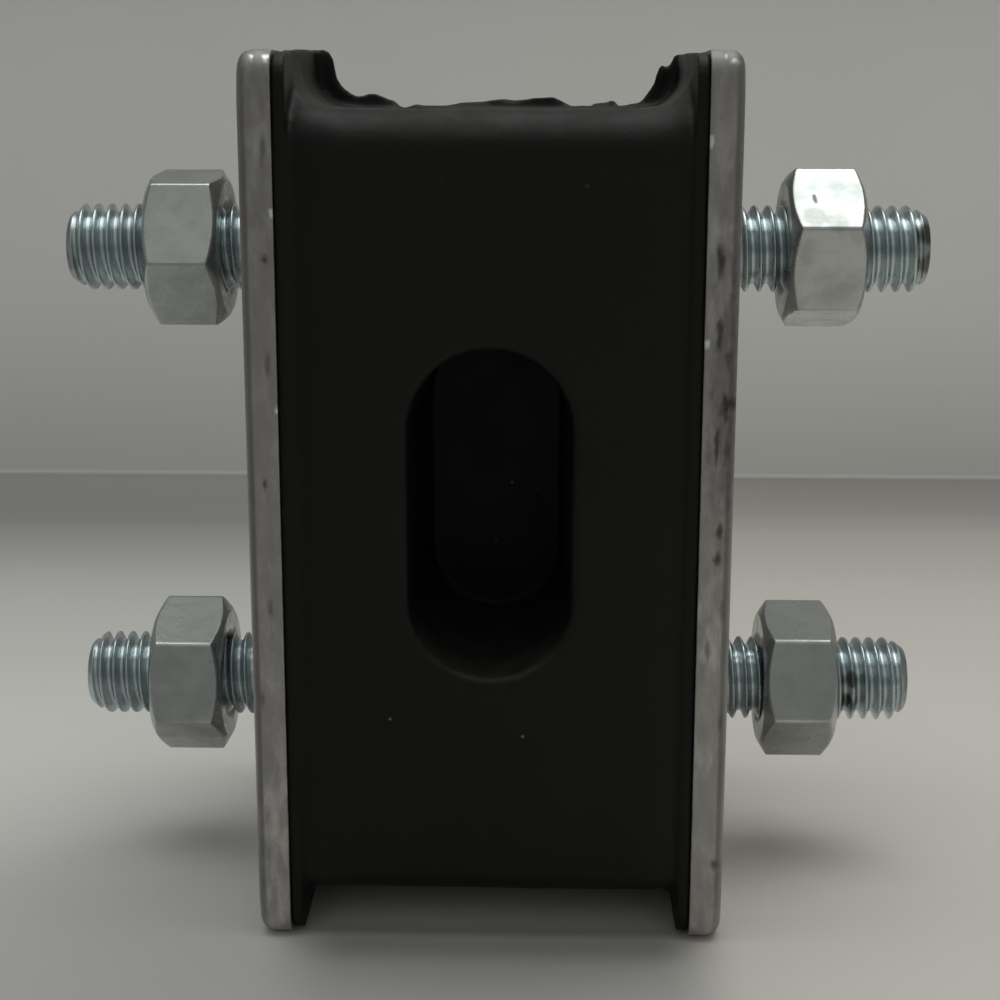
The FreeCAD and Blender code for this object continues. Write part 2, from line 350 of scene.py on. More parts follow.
def make_fastener_zinc(name, tint, low_roughness, stains):
    """Bright zinc with a faint tint, handling marks and a darker film in patches."""
    material, tree, shader = new_material(name, Metallic=1.0)
    clean = (tint[0], tint[1], tint[2], 1.0)
    film = tuple(c * 0.55 for c in tint) + (1.0,)
    stained = grey(0.06, 0.1)
    rusted = (0.055, 0.038, 0.024, 1.0)
    cloud = use_group(tree, MOTTLE, Scale=260.0, Low=0.35, High=0.72)
    marks = use_group(tree, MOTTLE, Scale=1500.0, Stretch=(0.3, 1, 1), Low=0.5, High=0.75)
    colour = blended(tree, maths(tree, "MULTIPLY", cloud, 0.5), clean, film)
    colour = blended(tree, maths(tree, "MULTIPLY", marks, 0.2), colour, film)
    for x, y, z, radius, strength in stains:
        stain = maths(tree, "MULTIPLY", near_point(tree, (x, y, z), radius), strength)
        colour = blended(tree, stain, colour, stained)
    colour = blended(tree, attribute_mask(tree, "rust"), colour, rusted)
    tree.links.new(colour, shader.inputs["Base Color"])
    rough = maths(tree, "ADD", low_roughness, maths(tree, "MULTIPLY", cloud, 0.12))
    rough = maths(tree, "ADD", rough, maths(tree, "MULTIPLY", attribute_mask(tree, "rust"), 0.35))
    tree.links.new(rough, shader.inputs["Roughness"])
    relief = {"Fine_Scale": 2600.0, "Coarse_Scale": 600.0, "Fine": 0.2, "Coarse": 0.5, "Depth": 0.04 * MM}
    normal = use_group(tree, RELIEF, **relief)
    tree.links.new(normal, shader.inputs["Normal"])
    return material


RUBBER = make_rubber()
PLATE_STEEL = make_plate_steel()
NUT_ZINC = make_fastener_zinc("nut_zinc", (0.52, 0.54, 0.53), 0.24, NUT_STAINS)
STUD_ZINC = make_fastener_zinc("stud_zinc", (0.56, 0.63, 0.65), 0.24, STUD_STAINS)


# Meshes


def smooth_step(value, low, high):
    """Smooth change from 0 to 1 between two values."""
    share = np.clip((value - low) / (high - low), 0, 1)
    return share * share * (3 - 2 * share)


def new_piece(name, points, faces, material, masks=None):
    """Smooth mesh object from points in millimetres, with masks painted on its points."""
    mesh = bpy.data.meshes.new(name)
    mesh.from_pydata((np.asarray(points, float) * MM).tolist(), [], faces)
    for label, values in (masks or {}).items():
        mesh.attributes.new(label, "FLOAT", "POINT").data.foreach_set("value", np.asarray(values, np.float32))
    mesh.materials.append(material)
    mesh.shade_smooth()
    piece = bpy.data.objects.new(name, mesh)
    bpy.context.scene.collection.objects.link(piece)
    return piece


def point_outwards(piece):
    """Merges doubles and turns all faces outwards."""
    form = bmesh.new()
    form.from_mesh(piece.data)
    bmesh.ops.remove_doubles(form, verts=form.verts, dist=1e-7)
    bmesh.ops.recalc_face_normals(form, faces=form.faces)
    form.to_mesh(piece.data)
    form.free()


def apply_modifiers(piece):
    """Keeps a piece's modified mesh as its plain mesh."""
    graph = bpy.context.evaluated_depsgraph_get()
    graph.update()
    mesh = bpy.data.meshes.new_from_object(piece.evaluated_get(graph), depsgraph=graph)
    piece.modifiers.clear()
    plain = piece.data
    piece.data = mesh
    bpy.data.meshes.remove(plain)
    mesh.name = piece.name


def fit_out(piece, node):
    """Puts a finished piece in a CAD node's place."""
    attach(piece, BODY)
    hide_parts(node)


def turned_grid(sections, angles, height, closed_loop=False):
    """Points and faces of a form turned about a stud's axis.

    Each section is (x, radius or radii round the axis); the first and last are closed to a point
    unless the sections make a loop.
    """
    count = len(angles)
    points, faces = [], []
    for x, radius in sections:
        radii = np.broadcast_to(radius, count)
        points += [(x, r * math.cos(a), height + r * math.sin(a)) for r, a in zip(radii, angles)]
    rows = len(sections)
    for row in range(rows if closed_loop else rows - 1):
        after = (row + 1) % rows
        for k in range(count):
            n = (k + 1) % count
            faces.append((row * count + k, row * count + n, after * count + n, after * count + k))
    if not closed_loop:
        for row, turn in ((0, -1), (rows - 1, 1)):
            points.append((sections[row][0], 0.0, height))
            centre = len(points) - 1
            for k in range(count):
                n = (k + 1) % count
                faces.append((row * count + k, row * count + n, centre)[::turn])
    return points, faces


def make_thread_tree():
    """Geometry tree that cuts a right-hand thread round an axis along X, on a stud or in a nut."""
    tree = bpy.data.node_groups.new("cut_thread", "GeometryNodeTree")
    kinds = {"Geometry": "Geometry"}
    for label in ("Axis Height", "Start", "End", "Pitch", "Crest Radius", "Root Radius", "Run Out"):
        kinds[label] = "Float"
    kinds.update({"In Nut": "Bool", "Material": "Material"})
    for label, kind in kinds.items():
        tree.interface.new_socket(name=label, in_out="INPUT", socket_type="NodeSocket" + kind)
    tree.interface.new_socket(name="Geometry", in_out="OUTPUT", socket_type="NodeSocketGeometry")
    given = tree.nodes.new("NodeGroupInput").outputs
    result = tree.nodes.new("NodeGroupOutput").inputs
    place = add_node(tree, "GeometryNodeInputPosition").outputs[0]
    x, y, z = add_node(tree, "ShaderNodeSeparateXYZ", {0: place}).outputs
    up = maths(tree, "SUBTRACT", z, given["Axis Height"])
    squares = maths(tree, "ADD", maths(tree, "MULTIPLY", y, y), maths(tree, "MULTIPLY", up, up))
    radius = maths(tree, "SQRT", squares)
    turn = maths(tree, "DIVIDE", maths(tree, "ARCTAN2", up, y), 2 * math.pi)
    phase = maths(tree, "FRACT", maths(tree, "SUBTRACT", maths(tree, "DIVIDE", x, given["Pitch"]), turn))
    from_crest = maths(tree, "MULTIPLY", maths(tree, "ABSOLUTE", maths(tree, "SUBTRACT", phase, 0.5)), 2.0)
    groove = ranged(tree, from_crest, 0.08, 0.82)
    from_plate = maths(tree, "ABSOLUTE", x)
    fade = ranged(
        tree, from_plate, given["Start"], maths(tree, "ADD", given["Start"], given["Run Out"]), smooth=False
    )
    depth = maths(tree, "SUBTRACT", given["Crest Radius"], given["Root Radius"])
    cut = maths(tree, "MULTIPLY", maths(tree, "MULTIPLY", depth, groove), fade)
    thread = maths(tree, "SUBTRACT", given["Crest Radius"], cut)
    on_stud = maths(tree, "MINIMUM", radius, thread)
    in_nut = maths(tree, "MAXIMUM", radius, thread)
    choice = {"Switch": given["In Nut"], "False": on_stud, "True": in_nut}
    new_radius = add_node(tree, "GeometryNodeSwitch", choice, input_type="FLOAT").outputs[0]
    share = maths(tree, "DIVIDE", new_radius, maths(tree, "MAXIMUM", radius, 1e-6))
    moved = add_node(
        tree,
        "ShaderNodeCombineXYZ",
        {
            0: x,
            1: maths(tree, "MULTIPLY", y, share),
            2: maths(tree, "ADD", given["Axis Height"], maths(tree, "MULTIPLY", up, share)),
        },
    ).outputs[0]
    past_start = maths(tree, "GREATER_THAN", from_plate, given["Start"])
    before_end = maths(tree, "LESS_THAN", from_plate, given["End"])
    within = maths(tree, "MULTIPLY", past_start, before_end)
    change = {"Geometry": given["Geometry"], "Selection": within, "Position": moved}
    shaped = add_node(tree, "GeometryNodeSetPosition", change).outputs[0]
    real = add_node(tree, "GeometryNodeRealizeInstances", {"Geometry": shaped}).outputs[0]
    finished = add_node(tree, "GeometryNodeSetMaterial", {"Geometry": real, "Material": given["Material"]})
    tree.links.new(finished.outputs[0], result["Geometry"])
    return tree


THREAD_TREE = make_thread_tree()


def cut_thread(piece, height, start, end, in_nut=False):
    """Runs the thread tree on a piece and keeps the result as its plain mesh."""
    gap = NUT_THREAD_GAP if in_nut else 0.0
    values = {
        "Axis Height": height * MM,
        "Start": start * MM,
        "End": end * MM,
        "Pitch": THREAD_PITCH * MM,
        "Crest Radius": (THREAD_CREST + gap) * MM,
        "Root Radius": (THREAD_ROOT + gap) * MM,
        "Run Out": (0.01 if in_nut else 1.2) * MM,
        "In Nut": in_nut,
        "Material": piece.data.materials[0],
    }
    modifier = piece.modifiers.new("thread", "NODES")
    modifier.node_group = THREAD_TREE
    for item in THREAD_TREE.interface.items_tree:
        if item.in_out == "INPUT" and item.name in values:
            modifier[item.identifier] = values[item.name]
    apply_modifiers(piece)


# Studs

# Head and neck, as (distance from the part's middle, radius)
STUD_HEAD = [(16.25, 5.4), (16.35, 5.9), (16.6, 6.0), (17.1, 6.0), (17.25, 5.95), (17.25, 4.2)]
STUD_NECK_RADIUS = 4.2
STUD_SHANK_RADIUS = 4.0
STUD_TIP = 39.0
STUD_TIP_RADIUS = 2.95
STUD_TAPER = 1.3
SHOULDER_END = 21.5
# Share of rust on the sawn tips
TIP_RUST = {"left": 0.3, "right": 0.75}


def make_stud(level, side_name):
    """Threaded stud with its head in the rubber, a neck in the plate and a tapered, sawn tip."""
    side, height = SIDES[side_name], STUD_HEIGHTS[level]
    sections = STUD_HEAD + [(PLATE_OUTER - 0.1, STUD_NECK_RADIUS), (PLATE_OUTER, STUD_NECK_RADIUS - 0.08)]
    sections += [(PLATE_OUTER, STUD_SHANK_RADIUS), (SHOULDER_END - 0.1, STUD_SHANK_RADIUS)]
    sections.append((SHOULDER_END, THREAD_CREST))
    step = THREAD_PITCH / THREAD_ROWS
    slope = (THREAD_CREST - STUD_TIP_RADIUS) / STUD_TAPER
    for x in np.arange(SHOULDER_END + step, STUD_TIP - step / 2, step):
        taper = STUD_TIP_RADIUS + (STUD_TIP - x) * slope
        sections.append((x, min(THREAD_CREST, taper)))
    sections += [(STUD_TIP, STUD_TIP_RADIUS - 0.05), (STUD_TIP, 2.2), (STUD_TIP - 0.05, 1.2)]
    angles = np.arange(THREAD_SIDES) * 2 * math.pi / THREAD_SIDES
    points, faces = turned_grid([(side * x, r) for x, r in sections], angles, height)
    points = np.array(points)
    reach = np.abs(points[:, 0])
    rust = TIP_RUST[side_name] * np.clip((reach - (STUD_TIP - 1.0)) / 0.9, 0, 1)
    rust = rust * [0.5 + 0.5 * noise.noise(Vector(p) * 0.9) for p in points]
    name = f"{level}_{side_name}_stud"
    piece = new_piece(name + "_threaded", points, faces, STUD_ZINC, {"rust": rust})
    point_outwards(piece)
    cut_thread(piece, height, SHOULDER_END, STUD_TIP - 0.02)
    fit_out(piece, name)


# Nuts

# Rows of points from a nut's end inwards, and its countersunk mouth as (depth, radius)
NUT_END_ROWS = [0.0, 0.04, 0.1, 0.17, 0.24, 0.32, 0.4, 0.5, 0.6, 0.7, 0.8, 0.9, 1.05, 1.4, 2.2]
NUT_MOUTH = [(0.0, 5.9), (0.0, 4.9), (0.02, 4.4), (0.12, 4.25), (0.95, 3.45)]
NUT_MOUTH.append((NUT_MOUTH_DEPTH, NUT_BORE_RADIUS))
NUT_THREAD_ROWS = 10
# Degrees from a nut's corner at which its outline has points
NUT_CORNER_TURNS = [0.0, 0.7, 1.5, 2.4, 3.6, 5.5, 9.0, 14.0, 20.0, 30.0]


def smooth_least(first, second, soft):
    """Lesser of two values, rounded where they cross."""
    gap = np.maximum(soft - np.abs(first - second), 0) / soft
    return np.minimum(first, second) - gap * gap * soft / 4


def nut_angles(turn):
    """Angles round a nut, close together at its corners."""
    half = np.array(NUT_CORNER_TURNS)
    sector = np.concatenate([-half[:0:-1], half[:-1]])
    return np.concatenate([np.radians(turn + 60 * k + sector) for k in range(6)])


def make_nut(level, side_name):
    """Hexagon nut with softened edges, chamfered ends, countersunk mouths and a cut thread."""
    place = f"{level}_{side_name}"
    gap, turn = NUT_PLACES[place]
    side, height = SIDES[side_name], STUD_HEIGHTS[level]
    angles = nut_angles(turn)
    local = np.radians(turn)
    flats = []
    for k in range(6):
        face_angle = local + math.pi / 6 + k * math.pi / 3
        flats.append(np.cos(angles - face_angle))
    flats = np.sort(np.array(flats), axis=0)[::-1]
    nearest, next_nearest = NUT_FLATS / 2 / np.maximum(flats[:2], 0.1)
    hexagon = smooth_least(nearest, next_nearest, NUT_CORNER_SOFTNESS)
    along = NUT_END_ROWS + [NUT_THICKNESS / 2] + [NUT_THICKNESS - d for d in reversed(NUT_END_ROWS)]
    start = PLATE_OUTER + gap
    sections = []
    for d in along:
        from_end = min(d, NUT_THICKNESS - d)
        chamfer = np.full(len(angles), NUT_CHAMFER_RADIUS + from_end * math.sqrt(3))
        sections.append((start + d, smooth_least(hexagon, chamfer, NUT_CHAMFER_SOFTNESS)))
    end = start + NUT_THICKNESS
    sections += [(end - d, r) for d, r in NUT_MOUTH]
    threaded = NUT_THICKNESS - 2 * NUT_MOUTH_DEPTH
    rows = int(threaded / THREAD_PITCH * NUT_THREAD_ROWS)
    for k in range(rows):
        sections.append((end - NUT_MOUTH_DEPTH - (k + 1) * threaded / (rows + 1), NUT_BORE_RADIUS))
    sections += [(start + d, r) for d, r in reversed(NUT_MOUTH)]
    turned = [(side * x, r) for x, r in sections]
    points, faces = turned_grid(turned, np.pi + angles, height, closed_loop=True)
    name = f"{place}_nut"
    piece = new_piece(name + "_worn", points, faces, NUT_ZINC)
    point_outwards(piece)
    cut_thread(piece, height, start + 0.05, end - 0.05, in_nut=True)
    fit_out(piece, name)


# Plates

# Dark marks, pale nicks and painted highlights on the plates' front edges, as
# (distance across from the inner edge, height, half width, half height, strength)
PITS = {
    "left": [
        (0.76, 58.6, 0.28, 0.35, 0.8), (1.2, 40.3, 0.22, 0.3, 0.7), (0.7, 50.1, 0.2, 1.0, 0.4),
        (0.7, 67.2, 0.22, 1.1, 0.4), (1.0, 29.6, 0.2, 0.6, 0.4), (1.9, 21.7, 0.2, 0.7, 0.4),
    ],
    "right": [
        (1.1, 58.5, 0.32, 1.2, 0.8), (1.2, 52.8, 0.28, 1.8, 0.8), (2.0, 50.5, 0.3, 1.0, 0.7),
        (1.8, 46.8, 0.42, 1.2, 0.9), (2.35, 47.1, 0.35, 0.7, 0.8), (1.2, 43.6, 0.22, 2.0, 0.8),
        (2.0, 43.2, 0.26, 1.7, 0.7), (1.6, 36.5, 0.3, 0.6, 0.8), (1.5, 34.2, 0.3, 0.6, 0.8),
        (2.0, 7.3, 0.32, 0.45, 0.7), (2.0, 55.5, 0.2, 0.8, 0.5), (0.7, 47.9, 0.2, 0.7, 0.4),
        (2.0, 29.9, 0.2, 0.7, 0.4), (0.9, 26.5, 0.2, 0.9, 0.4), (2.1, 20.3, 0.2, 0.8, 0.4),
        (1.7, 48.0, 1.1, 11.0, 0.35),
    ],
}
# Pale nicks, and painted highlights where the edges' top corners catch the overhead light (those near height
# 74.5)
NICKS_AND_HIGHLIGHTS = {
    "left": [
        (0.33, 74.5, 0.25, 0.4, 1.0), (1.43, 74.4, 0.12, 0.25, 1.0), (0.1, 62.3, 0.18, 0.3, 1.0),
        (0.05, 46.4, 0.15, 0.22, 1.0),
    ],
    "right": [
        (1.89, 74.5, 0.3, 0.5, 1.0), (1.12, 74.75, 0.18, 0.3, 1.0), (0.1, 67.9, 0.2, 0.4, 1.0),
        (0.2, 52.0, 0.2, 0.3, 1.0),
    ],
}
PIT_DEPTH = 0.08
# The rounding of the plates' outer edges grows this much towards their corners
CORNER_ROLL = 1.7
CORNER_ROLL_REACH = (0.8, 4.5)
EDGE_SPACING = 0.32
BORE_SIDES = 64
PLATE_CORNER_STEPS = 8


def plate_outline(inset):
    """Points round a plate's edge, inset from it, as (y, z)."""
    half_y, half_z = PLATE_HALF_DEPTH - inset, PLATE_HEIGHT / 2 - inset
    radius = max(PLATE_CORNER - inset, 0.05)
    path = []
    runs = [(1, 1), (-1, 1), (-1, -1), (1, -1)]
    long_y = int(2 * (PLATE_HALF_DEPTH - PLATE_CORNER) / EDGE_SPACING)
    long_z = int((PLATE_HEIGHT - 2 * PLATE_CORNER) / EDGE_SPACING)
    for index, (sy, sz) in enumerate(runs):
        centre = np.array([sy * (half_y - radius), sz * (half_z - radius)])
        first = math.atan2(sz, sy) - math.pi / 4
        for k in range(PLATE_CORNER_STEPS + 1):
            angle = first + k * math.pi / 2 / PLATE_CORNER_STEPS
            path.append(centre + radius * np.array([math.cos(angle), math.sin(angle)]))
        ny, nz = runs[(index + 1) % 4]
        next_centre = np.array([ny * (half_y - radius), nz * (half_z - radius)])
        angle = first + math.pi / 2
        arm = radius * np.array([math.cos(angle), math.sin(angle)])
        count = long_y if sz == nz else long_z
        for k in range(1, count):
            path.append(centre + arm + (next_centre - centre) * k / count)
    return np.array(path) + [0, PLATE_HEIGHT / 2]


def plate_sections():
    """Sections of a right-hand plate from its outer to its inner face, and where its edge is sheared."""
    edge_end = PLATE_INNER + 0.06
    roll_start = PLATE_OUTER - ROLLOVER
    rings = [(1.6, PLATE_OUTER), (1.1, PLATE_OUTER)]
    for k in range(7):
        angle = k * math.pi / 12
        rings.append((ROLLOVER * (1 - math.sin(angle)), PLATE_OUTER - ROLLOVER * (1 - math.cos(angle))))
    rings += [(0.0, x) for x in np.linspace(roll_start, edge_end, 15)[1:]]
    rings += [(0.05, PLATE_INNER), (0.3, PLATE_INNER), (1.0, PLATE_INNER)]
    points, sheared = [], []
    for inset, x in rings:
        outline = plate_outline(inset)
        from_end = PLATE_HEIGHT / 2 - np.abs(outline[:, 1] - PLATE_HEIGHT / 2)
        from_corner = np.hypot(PLATE_HALF_DEPTH - np.abs(outline[:, 0]), from_end)
        near = 1 - smooth_step(from_corner, *CORNER_ROLL_REACH)
        if x > roll_start - 1e-6:
            deep = PLATE_OUTER - (PLATE_OUTER - x) * CORNER_ROLL
            outline = outline + (plate_outline(inset * CORNER_ROLL) - outline) * near[:, None]
        else:
            deep = x - max(x - edge_end, 0) / (roll_start - edge_end) * ROLLOVER * (CORNER_ROLL - 1)
        points += [(x + (deep - x) * share, y, z) for share, (y, z) in zip(near, outline)]
        sheared += [float(np.clip(1 - inset / 0.5, 0, 1))] * len(outline)
    return np.array(points), np.array(sheared), len(rings)


def marked(marks, across, z, start, fade):
    """How strongly a point of the front edge is marked, from 0 to 1."""
    most = 0.0
    for mark_x, mark_z, half_x, half_z, strength in marks:
        far = math.hypot((across - mark_x) / half_x, (z - mark_z) / half_z)
        most = max(most, strength * float(np.clip((start - far) / fade, 0, 1)))
    return most


def make_plate(side_name):
    """Blanked plate: rounded outer edge, uneven sheared edge with pits, sharp inner edge, two bores."""
    side = SIDES[side_name]
    points, sheared, rows = plate_sections()
    count = len(points) // rows
    faces = []
    for row in range(rows - 1):
        for k in range(count):
            n = (k + 1) % count
            faces.append((row * count + k, row * count + n, (row + 1) * count + n, (row + 1) * count + k))
    # Where shade is painted on the rolled-over outer edge
    rollover_shade = sheared * np.clip((points[:, 0] - PLATE_OUTER + ROLLOVER) / 0.25, 0, 1)
    pits, nicks_and_highlights = np.zeros(len(points)), np.zeros(len(points))
    inward = (points[:, 1:] - [0, PLATE_HEIGHT / 2]) / [PLATE_HALF_DEPTH, PLATE_HEIGHT / 2]
    on_side = np.abs(inward[:, 0]) > np.abs(inward[:, 1])
    inward = np.where(on_side[:, None], np.sign(inward) * [1, 0], np.sign(inward) * [0, 1])
    for i, (x, y, z) in enumerate(points):
        if sheared[i] == 0:
            continue
        streak = noise.noise(Vector((x * 1.6, y * 0.6, z * 0.6 + side * 40)))
        fine = noise.noise(Vector((x * 5.0, y * 2.2, z * 2.2 + side * 90)))
        sink = sheared[i] * (0.05 * streak + 0.03 * fine + 0.03)
        if y < -PLATE_HALF_DEPTH + 0.6:
            ragged = 0.7 * noise.noise(Vector((x * 2.4, z * 1.3, side * 70)))
            pits[i] = marked(PITS[side_name], x - PLATE_INNER, z, 1.4 - ragged, 0.9)
            nicks_and_highlights[i] = marked(NICKS_AND_HIGHLIGHTS[side_name], x - PLATE_INNER, z, 1.4, 0.6)
            sink += PIT_DEPTH * pits[i]
        points[i, 1:] -= inward[i] * max(sink, 0)
    points[:, 0] *= side
    masks = {"sheared": sheared, "rollover_shade": rollover_shade, "pit": pits, "nick_and_highlight": nicks_and_highlights}
    piece = new_piece(f"{side_name}_plate_sheared", points, faces, PLATE_STEEL, masks)
    close_plate(piece, side, count)
    fit_out(piece, f"{side_name}_plate")


def close_plate(piece, side, count):
    """Fills a plate's two faces around its bores, and lines the bores."""
    form = bmesh.new()
    form.from_mesh(piece.data)
    form.verts.ensure_lookup_table()
    total = len(form.verts)
    loops = {}
    for x, first in ((PLATE_OUTER, 0), (PLATE_INNER, total - count)):
        edges = []
        for k in range(count):
            pair = (form.verts[first + k], form.verts[first + (k + 1) % count])
            edges.append(form.edges.get(pair) or form.edges.new(pair))
        for height in STUD_HEIGHTS.values():
            ring = []
            for k in range(BORE_SIDES):
                angle = 2 * math.pi * k / BORE_SIDES
                y = STUD_BORE_RADIUS * math.cos(angle)
                z = height + STUD_BORE_RADIUS * math.sin(angle)
                ring.append(form.verts.new(Vector((side * x, y, z)) * MM))
            edges += [form.edges.new((ring[k], ring[(k + 1) % BORE_SIDES])) for k in range(BORE_SIDES)]
            loops[x, height] = ring
        bmesh.ops.triangle_fill(form, use_beauty=True, edges=edges)
        form.verts.ensure_lookup_table()
    for height in STUD_HEIGHTS.values():
        outer, inner = loops[PLATE_OUTER, height], loops[PLATE_INNER, height]
        for k in range(BORE_SIDES):
            n = (k + 1) % BORE_SIDES
            form.faces.new((outer[k], outer[n], inner[n], inner[k]))
    bmesh.ops.recalc_face_normals(form, faces=form.faces)
    for face in form.faces:
        face.smooth = True
    for edge in form.edges:
        if len(edge.link_faces) == 2 and edge.calc_face_angle() > math.radians(50):
            edge.smooth = False
    form.to_mesh(piece.data)
    form.free()


# Rubber

RUBBER_VOXEL = 0.27
RUBBER_FACES = 90000
BONDED_DEPTH = 0.2
# Where the left skin thins out towards the back, as (start, end) of the change
SKIN_THIN_Y = (5.0, 14.0)
SKIN_THIN_Z = (71.0, 72.4)
# Ragged rubber in the parting plane, as outlines of (x, z)
FLASH_OUTLINES = [
    [
        (-16.6, 70.2), (-16.6, 75.3), (-16.1, 75.55), (-15.6, 75.65), (-15.15, 75.5), (-14.85, 75.0),
        (-14.65, 74.4), (-14.55, 73.6), (-14.45, 73.1), (-14.0, 72.4), (-13.5, 71.95), (-12.9, 71.65),
        (-12.4, 71.5), (-11.8, 71.7), (-11.3, 71.8), (-10.7, 71.7), (-10.2, 71.5), (-9.7, 71.3),
        (-9.1, 71.1), (-8.6, 70.6), (-8.4, 70.2),
    ],
    [
        (-7.8, 70.2), (-7.5, 70.95), (-6.4, 70.85), (-4.8, 70.85), (-3.7, 70.95), (-2.6, 71.05),
        (-1.0, 71.15), (-0.3, 71.25), (0.6, 71.4), (1.5, 71.25), (2.8, 71.4), (3.4, 71.5), (4.4, 71.5),
        (5.0, 71.6), (5.6, 71.35), (6.2, 71.05), (6.8, 70.95), (7.7, 71.05), (8.3, 70.9), (8.9, 71.05),
        (9.8, 71.05), (10.4, 71.25), (11.0, 70.9), (11.4, 70.2),
    ],
    [
        (12.2, 70.2), (12.6, 70.75), (13.1, 71.2), (13.5, 71.8), (13.7, 72.1), (14.0, 72.5),
        (14.2, 73.0), (14.35, 73.6), (14.6, 74.2), (14.8, 74.4), (15.05, 74.15), (15.3, 74.0),
        (15.55, 74.3), (15.75, 74.9), (15.95, 75.2), (16.3, 75.3), (16.6, 75.1), (16.6, 70.2),
    ],
]
# Rubber pressed out over the skins' top edges, as outlines of (y, z)
LIP_OUTLINES = {
    -1: [
        (-20.0, 74.0), (-19.6, 74.6), (-18.5, 74.9), (-16.0, 75.05), (-12.0, 75.2), (-8.0, 75.4),
        (-4.0, 75.55), (0.0, 75.6), (3.0, 75.45), (7.0, 75.1), (12.0, 74.85), (15.0, 74.5),
        (15.4, 74.0),
    ],
    1: [
        (-20.0, 74.0), (-19.6, 74.55), (-18.5, 74.8), (-13.0, 74.98), (-8.0, 75.1), (-4.0, 75.25),
        (0.0, 75.25), (3.0, 75.1), (8.0, 74.85), (12.0, 74.6), (12.6, 74.0),
    ],
}
FLASH_HALF = 0.35
# The block's top stands this much lower between the flares, and its moulded ridge is worn down
TOP_SINK = 0.38
RIDGE_WEAR = 0.3
LIP_REACH = (16.2, 17.2)


def add_prism(form, first, last):
    """Adds a closed prism between two matching outlines of points in millimetres."""
    front = [form.verts.new(Vector(point) * MM) for point in first]
    back = [form.verts.new(Vector(point) * MM) for point in last]
    form.faces.new(front)
    form.faces.new(back[::-1])
    for k in range(len(first)):
        n = (k + 1) % len(first)
        form.faces.new((front[n], front[k], back[k], back[n]))


def top_sink(x):
    """How much lower the block's top stands at this distance from its middle."""
    return TOP_SINK * (1 - smooth_step(np.abs(x), 11.5, 15.5))


def add_flash(form):
    """Adds the ragged sheets in the parting plane and the lips over the skins to the rubber's form."""
    for outline in FLASH_OUTLINES:
        raised = [(x, z + float(top_sink(x))) for x, z in outline]
        add_prism(form, [(x, -FLASH_HALF, z) for x, z in raised], [(x, FLASH_HALF, z) for x, z in raised])
    near, far = LIP_REACH
    for side, outline in LIP_OUTLINES.items():
        add_prism(form, [(side * near, y, z) for y, z in outline], [(side * far, y, z) for y, z in outline])


def make_rubber_block():
    """The moulding, remade as one fine skin with its flash and slight unevenness."""
    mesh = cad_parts["rubber_block"].data.copy()
    mesh.materials.clear()
    mesh.materials.append(RUBBER)
    piece = bpy.data.objects.new("rubber_block_moulded", mesh)
    bpy.context.scene.collection.objects.link(piece)
    form = bmesh.new()
    form.from_mesh(mesh)
    bmesh.ops.remove_doubles(form, verts=form.verts, dist=1e-6)
    add_flash(form)
    bmesh.ops.recalc_face_normals(form, faces=form.faces)
    form.to_mesh(mesh)
    form.free()
    remesh = piece.modifiers.new("skin", "REMESH")
    remesh.mode = "VOXEL"
    remesh.voxel_size = RUBBER_VOXEL * MM
    remesh.use_smooth_shade = True
    apply_modifiers(piece)
    roughen_rubber(piece)
    soften = piece.modifiers.new("soften", "SMOOTH")
    soften.factor = 0.5
    soften.iterations = 3
    soften.vertex_group = "unbonded"
    apply_modifiers(piece)
    thin = piece.modifiers.new("thin", "DECIMATE")
    thin.ratio = RUBBER_FACES / len(piece.data.polygons) / 2
    apply_modifiers(piece)
    piece.data.shade_smooth()
    fit_out(piece, "rubber_block")


def roughen_rubber(piece):
    """Moves the rubber's points slightly in or out, except where it is bonded to the plates.

    The block's top is lowered, and the left skin is thinned behind its flash. The unbonded points
    are gathered in a group.
    """
    mesh = piece.data
    points = np.empty(len(mesh.vertices) * 3)
    normals = np.empty(len(mesh.vertices) * 3)
    mesh.vertices.foreach_get("co", points)
    mesh.vertices.foreach_get("normal", normals)
    points, normals = points.reshape(-1, 3), normals.reshape(-1, 3)
    for i, point in enumerate(points):
        if abs(point[0]) > (PLATE_INNER - BONDED_DEPTH) * MM:
            continue
        place = Vector(point) / MM
        broad = noise.noise(place * 0.13)
        small = noise.noise(place * 0.7)
        points[i] += normals[i] * (0.09 * broad + 0.035 * small - 0.03) * MM
    x, y, z = points.T / MM
    sink = top_sink(x) * smooth_step(z, 66.0, 70.0)
    wear = [RIDGE_WEAR * (0.6 + 0.8 * noise.noise(Vector((value * 0.9, 0, 5)))) for value in x]
    on_ridge = (np.abs(y) < 0.3) & (z > BLOCK_TOP + 0.2) & (z < BLOCK_TOP + 0.55) & (np.abs(x) < 12)
    sink += np.where(on_ridge, wear, 0)
    points[:, 2] -= sink * MM
    kept = 1 - 0.85 * smooth_step(y, *SKIN_THIN_Y) * smooth_step(z, *SKIN_THIN_Z) * (x < 0)
    points[:, 0] = (points[:, 0] + PLATE_INNER * MM) * kept - PLATE_INNER * MM
    points[:, 0] = np.clip(points[:, 0], -PLATE_INNER * MM, PLATE_INNER * MM)
    mesh.vertices.foreach_set("co", points.ravel())
    mesh.update()
    free = np.nonzero(np.abs(points[:, 0]) < (PLATE_INNER - BONDED_DEPTH) * MM)[0]
    piece.vertex_groups.new(name="unbonded").add(free.tolist(), 1.0, "REPLACE")


# Stage, lights and camera

WALL_DISTANCE = 176.0
WALL_HEIGHT = 445.0
COVE_RADIUS = 1.6
CARD_REACH = 900.0
